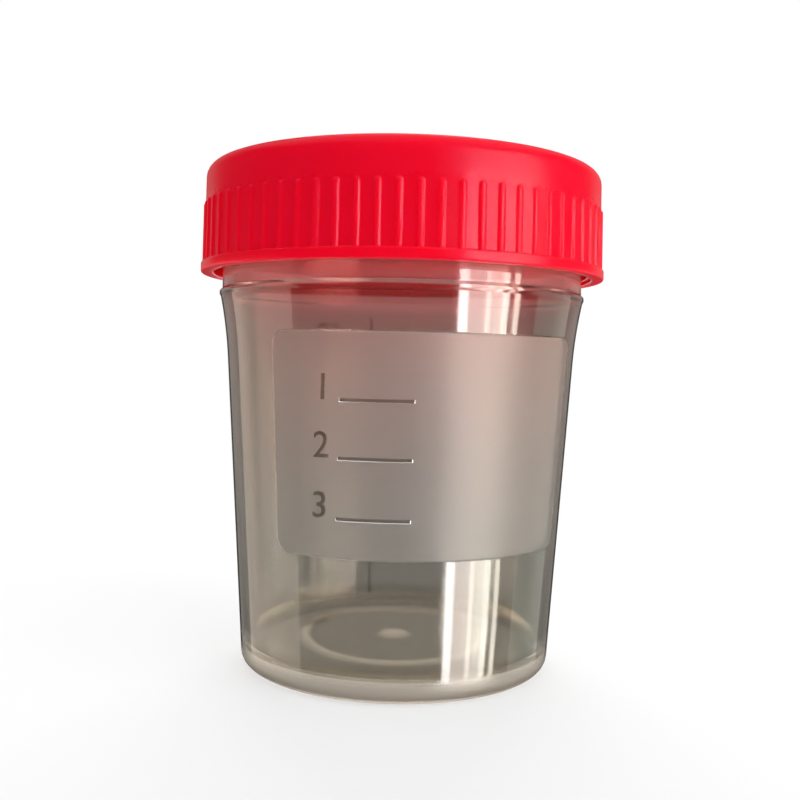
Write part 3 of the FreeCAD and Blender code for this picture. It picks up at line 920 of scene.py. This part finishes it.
print(f"lid bore {BORE_RADIUS / MM:.2f} mm, skirt {SKIRT_RADIUS / MM:.2f} mm in radius")

# %% [markdown]
# ## The grip ribs
#
# Seventy low ribs run up the skirt and end in a half round below the plain band. Separate bars on the
# skirt would show a hard seam in soft plastic, so this tree raises the ribs out of the skirt's own skin:
# each point finds the nearest rib's middle from its angle, measures how far it lies from that rib's
# rounded outline, and moves outwards. The columns crowd together on the ribs' flanks, so that those stay
# crisp.

# %% Columns that follow the ribs
pitch_angle = 2 * math.pi / RIB_COUNT
half_width, flank = RIB_WIDTH / 2 / SKIRT_RADIUS, RIB_FLANK / SKIRT_RADIUS
steps = [-pitch_angle / 2, -half_width - flank / 3]
steps += [-half_width + flank * share for share in (0.0, 0.4, 0.75, 1.1)]
steps = steps + [-step for step in steps[:0:-1]]
lid_columns = [index * pitch_angle + step for index in range(RIB_COUNT) for step in steps]
lid = lathe("container_lid", lid_outline, lid_columns)

# %% The tree that raises the ribs
ribs = Shaping(
    "grip_ribs",
    {
        "Rib Count": RIB_COUNT,
        "Rib Width": RIB_WIDTH,
        "Rib Rise": RIB_RISE,
        "Rib Top": RIB_TOP,
        "Flank": RIB_FLANK,
        "Skirt Inside": BORE_RADIUS + SKIRT_WALL / 2,
        "Skirt Low": FLANGE_TOP - 0.01 * MM,
        "Rib Limit": FLANGE_RADIUS - RIB_STEP_BACK,
    },
)
x, y, z = ribs.parts_of(ribs.node("GeometryNodeInputPosition"))
radius = (x * x + y * y).combine("SQRT")
turns = y.combine("ARCTAN2", x) * (ribs["Rib Count"] / (2 * math.pi))
from_middle = turns - turns.combine("ROUND")
spacing = radius * (2 * math.pi) / ribs["Rib Count"]
sideways = (from_middle * spacing).combine("ABSOLUTE")
half_rib = ribs["Rib Width"] / 2.0
above = (z - (ribs["Rib Top"] - half_rib)).combine("MAXIMUM", 0.0)
reach = (sideways * sideways + above * above).combine("SQRT")
risen = ribs.fade((half_rib - reach) / ribs["Flank"], 0.0, 1.0, "SMOOTHSTEP")
on_skirt = radius.combine("GREATER_THAN", ribs["Skirt Inside"]) * z.combine("GREATER_THAN", ribs["Skirt Low"])
rise = (risen * ribs["Rib Rise"] * on_skirt).combine("MINIMUM", ribs["Rib Limit"] - radius)
rise = rise.combine("MAXIMUM", 0.0)
flat = ribs.node("ShaderNodeCombineXYZ", {"X": x, "Y": y})
outwards = ribs.node("ShaderNodeVectorMath", {0: flat}, operation="NORMALIZE")
push = ribs.node("ShaderNodeVectorMath", {0: outwards, "Scale": rise}, operation="SCALE")
grip = ribs.node("GeometryNodeSetPosition", {"Geometry": ribs["Geometry"], "Offset": push})
ribs.shape(lid, grip, lid_plastic)
lid_thread_low = THREAD_LOW - THREAD_GAP
lid_thread = make_thread("lid_thread", BORE_RADIUS - thread_middle, lid_thread_low, False, lid_plastic)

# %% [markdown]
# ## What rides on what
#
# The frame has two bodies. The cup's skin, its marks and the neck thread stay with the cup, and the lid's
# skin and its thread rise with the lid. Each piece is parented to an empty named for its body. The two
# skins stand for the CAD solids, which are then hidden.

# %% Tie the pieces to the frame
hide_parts("cup")
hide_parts("lid")
for piece in (cup, scale, panel_marks, neck_thread):
    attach(piece, "cup")
for piece in (lid, lid_thread):
    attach(piece, "lid")

# %% [markdown]
# ## Floor, surroundings and light
#
# The background is plain white. More light would whiten a real floor, but it would bleach the container
# too. So the room and the floor are white only for what looks at them, such as the camera, a reflection
# or the clear plastic, and give plain light to all else. Near the container the floor keeps a share of
# real paper, where the soft shadow falls.

# %% What looks and what lights
FLOOR_SIZE = 6.0
WHITE_FROM, WHITE_TO = 0.05, 0.16
DAYLIGHT = 0.6
SHADOW_SHARE = 0.35


def seen_directly(finish):
    """1 for what the camera, a reflection or clear plastic looks at, 0 for the light on things."""
    names = ("Is Camera Ray", "Is Glossy Ray", "Is Transmission Ray")
    camera, mirrored, through = [finish.ray(name) for name in names]
    return (camera + mirrored + through).combine("MINIMUM", 1.0)


# %% Floor
finish = Finish(bpy.data.materials.new("pale_floor"))
distance = finish.node("ShaderNodeVectorMath", {0: finish.place()}, 1, operation="LENGTH")
far = finish.fade(distance, WHITE_FROM, WHITE_TO, "SMOOTHSTEP")
paper = finish.node("ShaderNodeBsdfDiffuse", {"Color": colour(0.9, 0.9, 0.9)})
whiteness = (1 - SHADOW_SHARE) + SHADOW_SHARE * far
mixed = finish.mix(whiteness * seen_directly(finish), paper, finish.glow(colour(1, 1, 1)))
bpy.ops.mesh.primitive_plane_add(size=FLOOR_SIZE)
floor = bpy.context.object
floor.name = "floor"
floor.data.materials.append(finish.end(mixed))
floor.visible_glossy = floor.visible_transmission = False
print(f"floor {FLOOR_SIZE} m wide, white from {WHITE_TO / MM:.0f} mm on")

# %% Surroundings
finish = Finish(bpy.data.worlds.new("white_room"))
seen = seen_directly(finish)
strength = seen + (1 - seen) * DAYLIGHT
white = finish.node("ShaderNodeBackground", {"Color": colour(1, 1, 1), "Strength": strength})
bpy.context.scene.world = finish.end(white, "ShaderNodeOutputWorld")
print(f"daylight {DAYLIGHT}")

# %% [markdown]
# ## The camera
#
# The photograph was taken from close by, level with the upper wall, so the lid bows up and the foot bows
# down. The distance and the height below give the same bowing. Going nearer would fill the picture, but
# would also bow both more, so a longer lens does it.

# %% Camera
CAMERA_DISTANCE = 136.4 * MM
CAMERA_HEIGHT = 39.87 * MM
CAMERA_TURN = math.radians(11.7)
CAMERA_ROLL = math.radians(1.3)
CAMERA_LENS = 44.55
CAMERA_SHIFT = -0.04

forward = Vector((math.sin(CAMERA_TURN), math.cos(CAMERA_TURN), 0))
right, up = Vector((forward.y, -forward.x, 0)), Vector((0, 0, 1))
rolled_right = right * math.cos(CAMERA_ROLL) + up * math.sin(CAMERA_ROLL)
rolled_up = up * math.cos(CAMERA_ROLL) - right * math.sin(CAMERA_ROLL)
lens = bpy.data.cameras.new("camera")
lens.sensor_width, lens.lens, lens.shift_y, lens.clip_start = 36, CAMERA_LENS, CAMERA_SHIFT, 0.005
camera = add_object("camera", lens)
camera.matrix_world = Matrix((rolled_right, rolled_up, -forward)).transposed().to_4x4()
camera.location = -forward * CAMERA_DISTANCE + up * CAMERA_HEIGHT
bpy.context.scene.camera = camera
print(f"camera {CAMERA_DISTANCE / MM:.0f} mm away, {CAMERA_HEIGHT / MM:.0f} mm up, lens {lens.lens:.1f} mm")

# %% [markdown]
# ## The lamps
#
# Two wide soft lamps give the plain light: a key to the right of the camera, and one behind the
# container, which lights the plastic from the back. Small lamps would throw hard shadows and leave bright
# spots. Neither lamp shows in gloss, since the reflections come from the window further on.

# %% Lamps
LAMP_DISTANCE = 0.5
LAMPS_LOOK_AT = Vector((0, 0, 0.03))


def beside_camera(degrees):
    """A level direction, so many degrees to the right of the camera as seen from the container."""
    turn = math.radians(degrees)
    return -forward * math.cos(turn) + right * math.sin(turn)


def add_lamp(name, degrees, height, width, tall, watts):
    data = bpy.data.lights.new(name, "AREA")
    data.shape, data.size, data.size_y, data.energy = "RECTANGLE", width, tall, watts
    lamp = add_object(name, data)
    lamp.location = beside_camera(degrees) * LAMP_DISTANCE + up * height
    lamp.rotation_euler = (LAMPS_LOOK_AT - lamp.location).to_track_quat("-Z", "Y").to_euler()
    lamp.visible_camera = False
    return lamp


key = add_lamp("soft_key", degrees=48, height=0.30, width=0.5, tall=0.5, watts=1.75)
key.visible_glossy = False
back = add_lamp("soft_back", degrees=180, height=0.20, width=0.5, tall=0.4, watts=4.0)
back.visible_glossy = back.visible_transmission = False
print(f"lamps: {key.name} {key.data.energy} W, {back.name} {back.data.energy} W")

# %% [markdown]
# ## The window
#
# The upright reflections come from a tall window to the right of the camera. One bright card would give
# one even strip, and the photographed strips differ, so there are a few narrow panes, and two faint low
# ones for the room's side walls. Only gloss shows them. A ray that goes straight through the cup passes
# them by, or the window would hang behind the cup when it is looked at from the other side. The plastic's
# smoky tint stands for a dark room behind it, so it takes too much from what the far wall and the floor
# reflect, and for those rays the panes shine stronger.

# %% The panes' places, strengths and tints
PANE_LOW, PANE_MIDDLE, PANE_HIGH = -0.3, 0.07, 0.25
PANE_POINTS = 9
FAR_WALL_DEPTH, FAR_WALL_GAIN = 2.5, 6.0
# Each with its two sides in degrees from the camera, its strength and its tint.
PANES = [
    ("pane_clear", 34.5, 40.5, 21, (1.0, 0.98, 0.95)),
    ("pane_curtain", 40.5, 52, 9.5, (1.0, 0.87, 0.81)),
    ("pane_edge", 52, 55, 18, (1.0, 0.90, 0.82)),
    ("pane_middle", 55, 63, 11, (1.0, 0.92, 0.82)),
    ("pane_far", 63, 68, 17, (1.0, 0.98, 0.88)),
    ("pane_side", 72, 76, 14, (1.0, 0.93, 0.80)),
]
LOW_PANES = [
    ("wall_left", -130, -70, 1.7, (1.0, 0.87, 0.73)),
    ("wall_right", 90, 128, 1.2, (0.97, 1.0, 0.86)),
]

# %% Hang the panes
def stand_up(name, track, low, high, material):
    """An upright card along a line on the floor; neither the camera nor plain light meets it."""
    points = [point + Vector((0, 0, height)) for height in (low, high) for point in track]
    count = len(track)
    faces = [(index, index + 1, index + 1 + count, index + count) for index in range(count - 1)]
    mesh = bpy.data.meshes.new(name)
    mesh.from_pydata(points, [], faces)
    mesh.materials.append(material)
    card = add_object(name, mesh)
    card.visible_camera = card.visible_diffuse = card.visible_shadow = False


def only_in_gloss(finish, light):
    """Leaves a card clear for rays that haven't been mirrored on their way."""
    bounces = finish.ray("Glossy Depth").combine("MINIMUM", 1.0)
    shader = finish.mix(bounces, finish.node("ShaderNodeBsdfTransparent"), light)
    return finish.end(shader)


def make_glow(name, radiance, tint, gain):
    finish = Finish(bpy.data.materials.new(name))
    far = finish.ray("Transmission Depth").combine("GREATER_THAN", FAR_WALL_DEPTH)
    near_light = [radiance * part for part in tint]
    far_light = [gain * part for part in near_light]
    light = finish.blend(far, colour(*near_light), colour(*far_light))
    return only_in_gloss(finish, finish.glow(light))


def hang(name, start, stop, radiance, tint, low, high, gain):
    glow = make_glow(name, radiance, tint, gain)
    glow.cycles.emission_sampling = "NONE"
    track = [beside_camera(degrees) * LAMP_DISTANCE for degrees in np.linspace(start, stop, PANE_POINTS)]
    stand_up(name, track, low, high, glow)


for pane in PANES + LOW_PANES:
    hang(*pane, PANE_LOW, PANE_MIDDLE, FAR_WALL_GAIN)
for pane in PANES:
    hang(*pane, PANE_MIDDLE, PANE_HIGH, 1.0)
print(f"{2 * len(PANES) + len(LOW_PANES)} panes")

# %% [markdown]
# ## Dark cards
#
# Clear plastic on white would lose its outline, and a darker tint would dull the whole cup. As in a
# photographer's studio, dark cards stand behind the container, just out of the picture, and its edges
# draw them as thin dark lines. Grey ones beside them keep the white from shining along its sides. A dark
# curtain round the camera keeps the white room out of the gloss on the near side, apart from the window.

# %% Dark cards
CARD_BEHIND, CARD_TOP = 100 * MM, 250 * MM
CURTAIN_DISTANCE, CURTAIN_LEFT, CURTAIN_RIGHT, CURTAIN_STEP = 0.6, -135, 130, 5
CURTAIN_LOW, CURTAIN_TOP = -0.5, 0.6
# Left or right of the axis, the inner and the outer edge, and how pale.
CARDS = [
    (-1, 43 * MM, 72 * MM, 0.08),
    (-1, 72 * MM, 150 * MM, 0.45),
    (1, 36 * MM, 43 * MM, 0.4),
    (1, 43 * MM, 72 * MM, 0.08),
    (1, 72 * MM, 150 * MM, 0.42),
]
CARD_TINT, CLOTH = (1.0, 0.93, 0.84), colour(0.06, 0.055, 0.05)

for side, inner, outer, shade in CARDS:
    finish = Finish(bpy.data.materials.new("card_paper"))
    paper = finish.end(finish.glow(colour(*(shade * part for part in CARD_TINT))))
    track = [forward * CARD_BEHIND + right * side * edge for edge in (inner, outer)]
    stand_up("edge_card", track, -CARD_TOP, CARD_TOP, paper)

finish = Finish(bpy.data.materials.new("curtain_cloth"))
cloth = only_in_gloss(finish, finish.glow(CLOTH))
turns = range(CURTAIN_LEFT, CURTAIN_RIGHT + 1, CURTAIN_STEP)
track = [beside_camera(degrees) * CURTAIN_DISTANCE for degrees in turns]
stand_up("dark_curtain", track, CURTAIN_LOW, CURTAIN_TOP, cloth)
print(f"{len(CARDS)} cards and a curtain")

# %% [markdown]
#
# The dressed container has to fill the same box as the CAD model.

# %% Plain colour view
bpy.context.scene.view_settings.view_transform = "Standard"
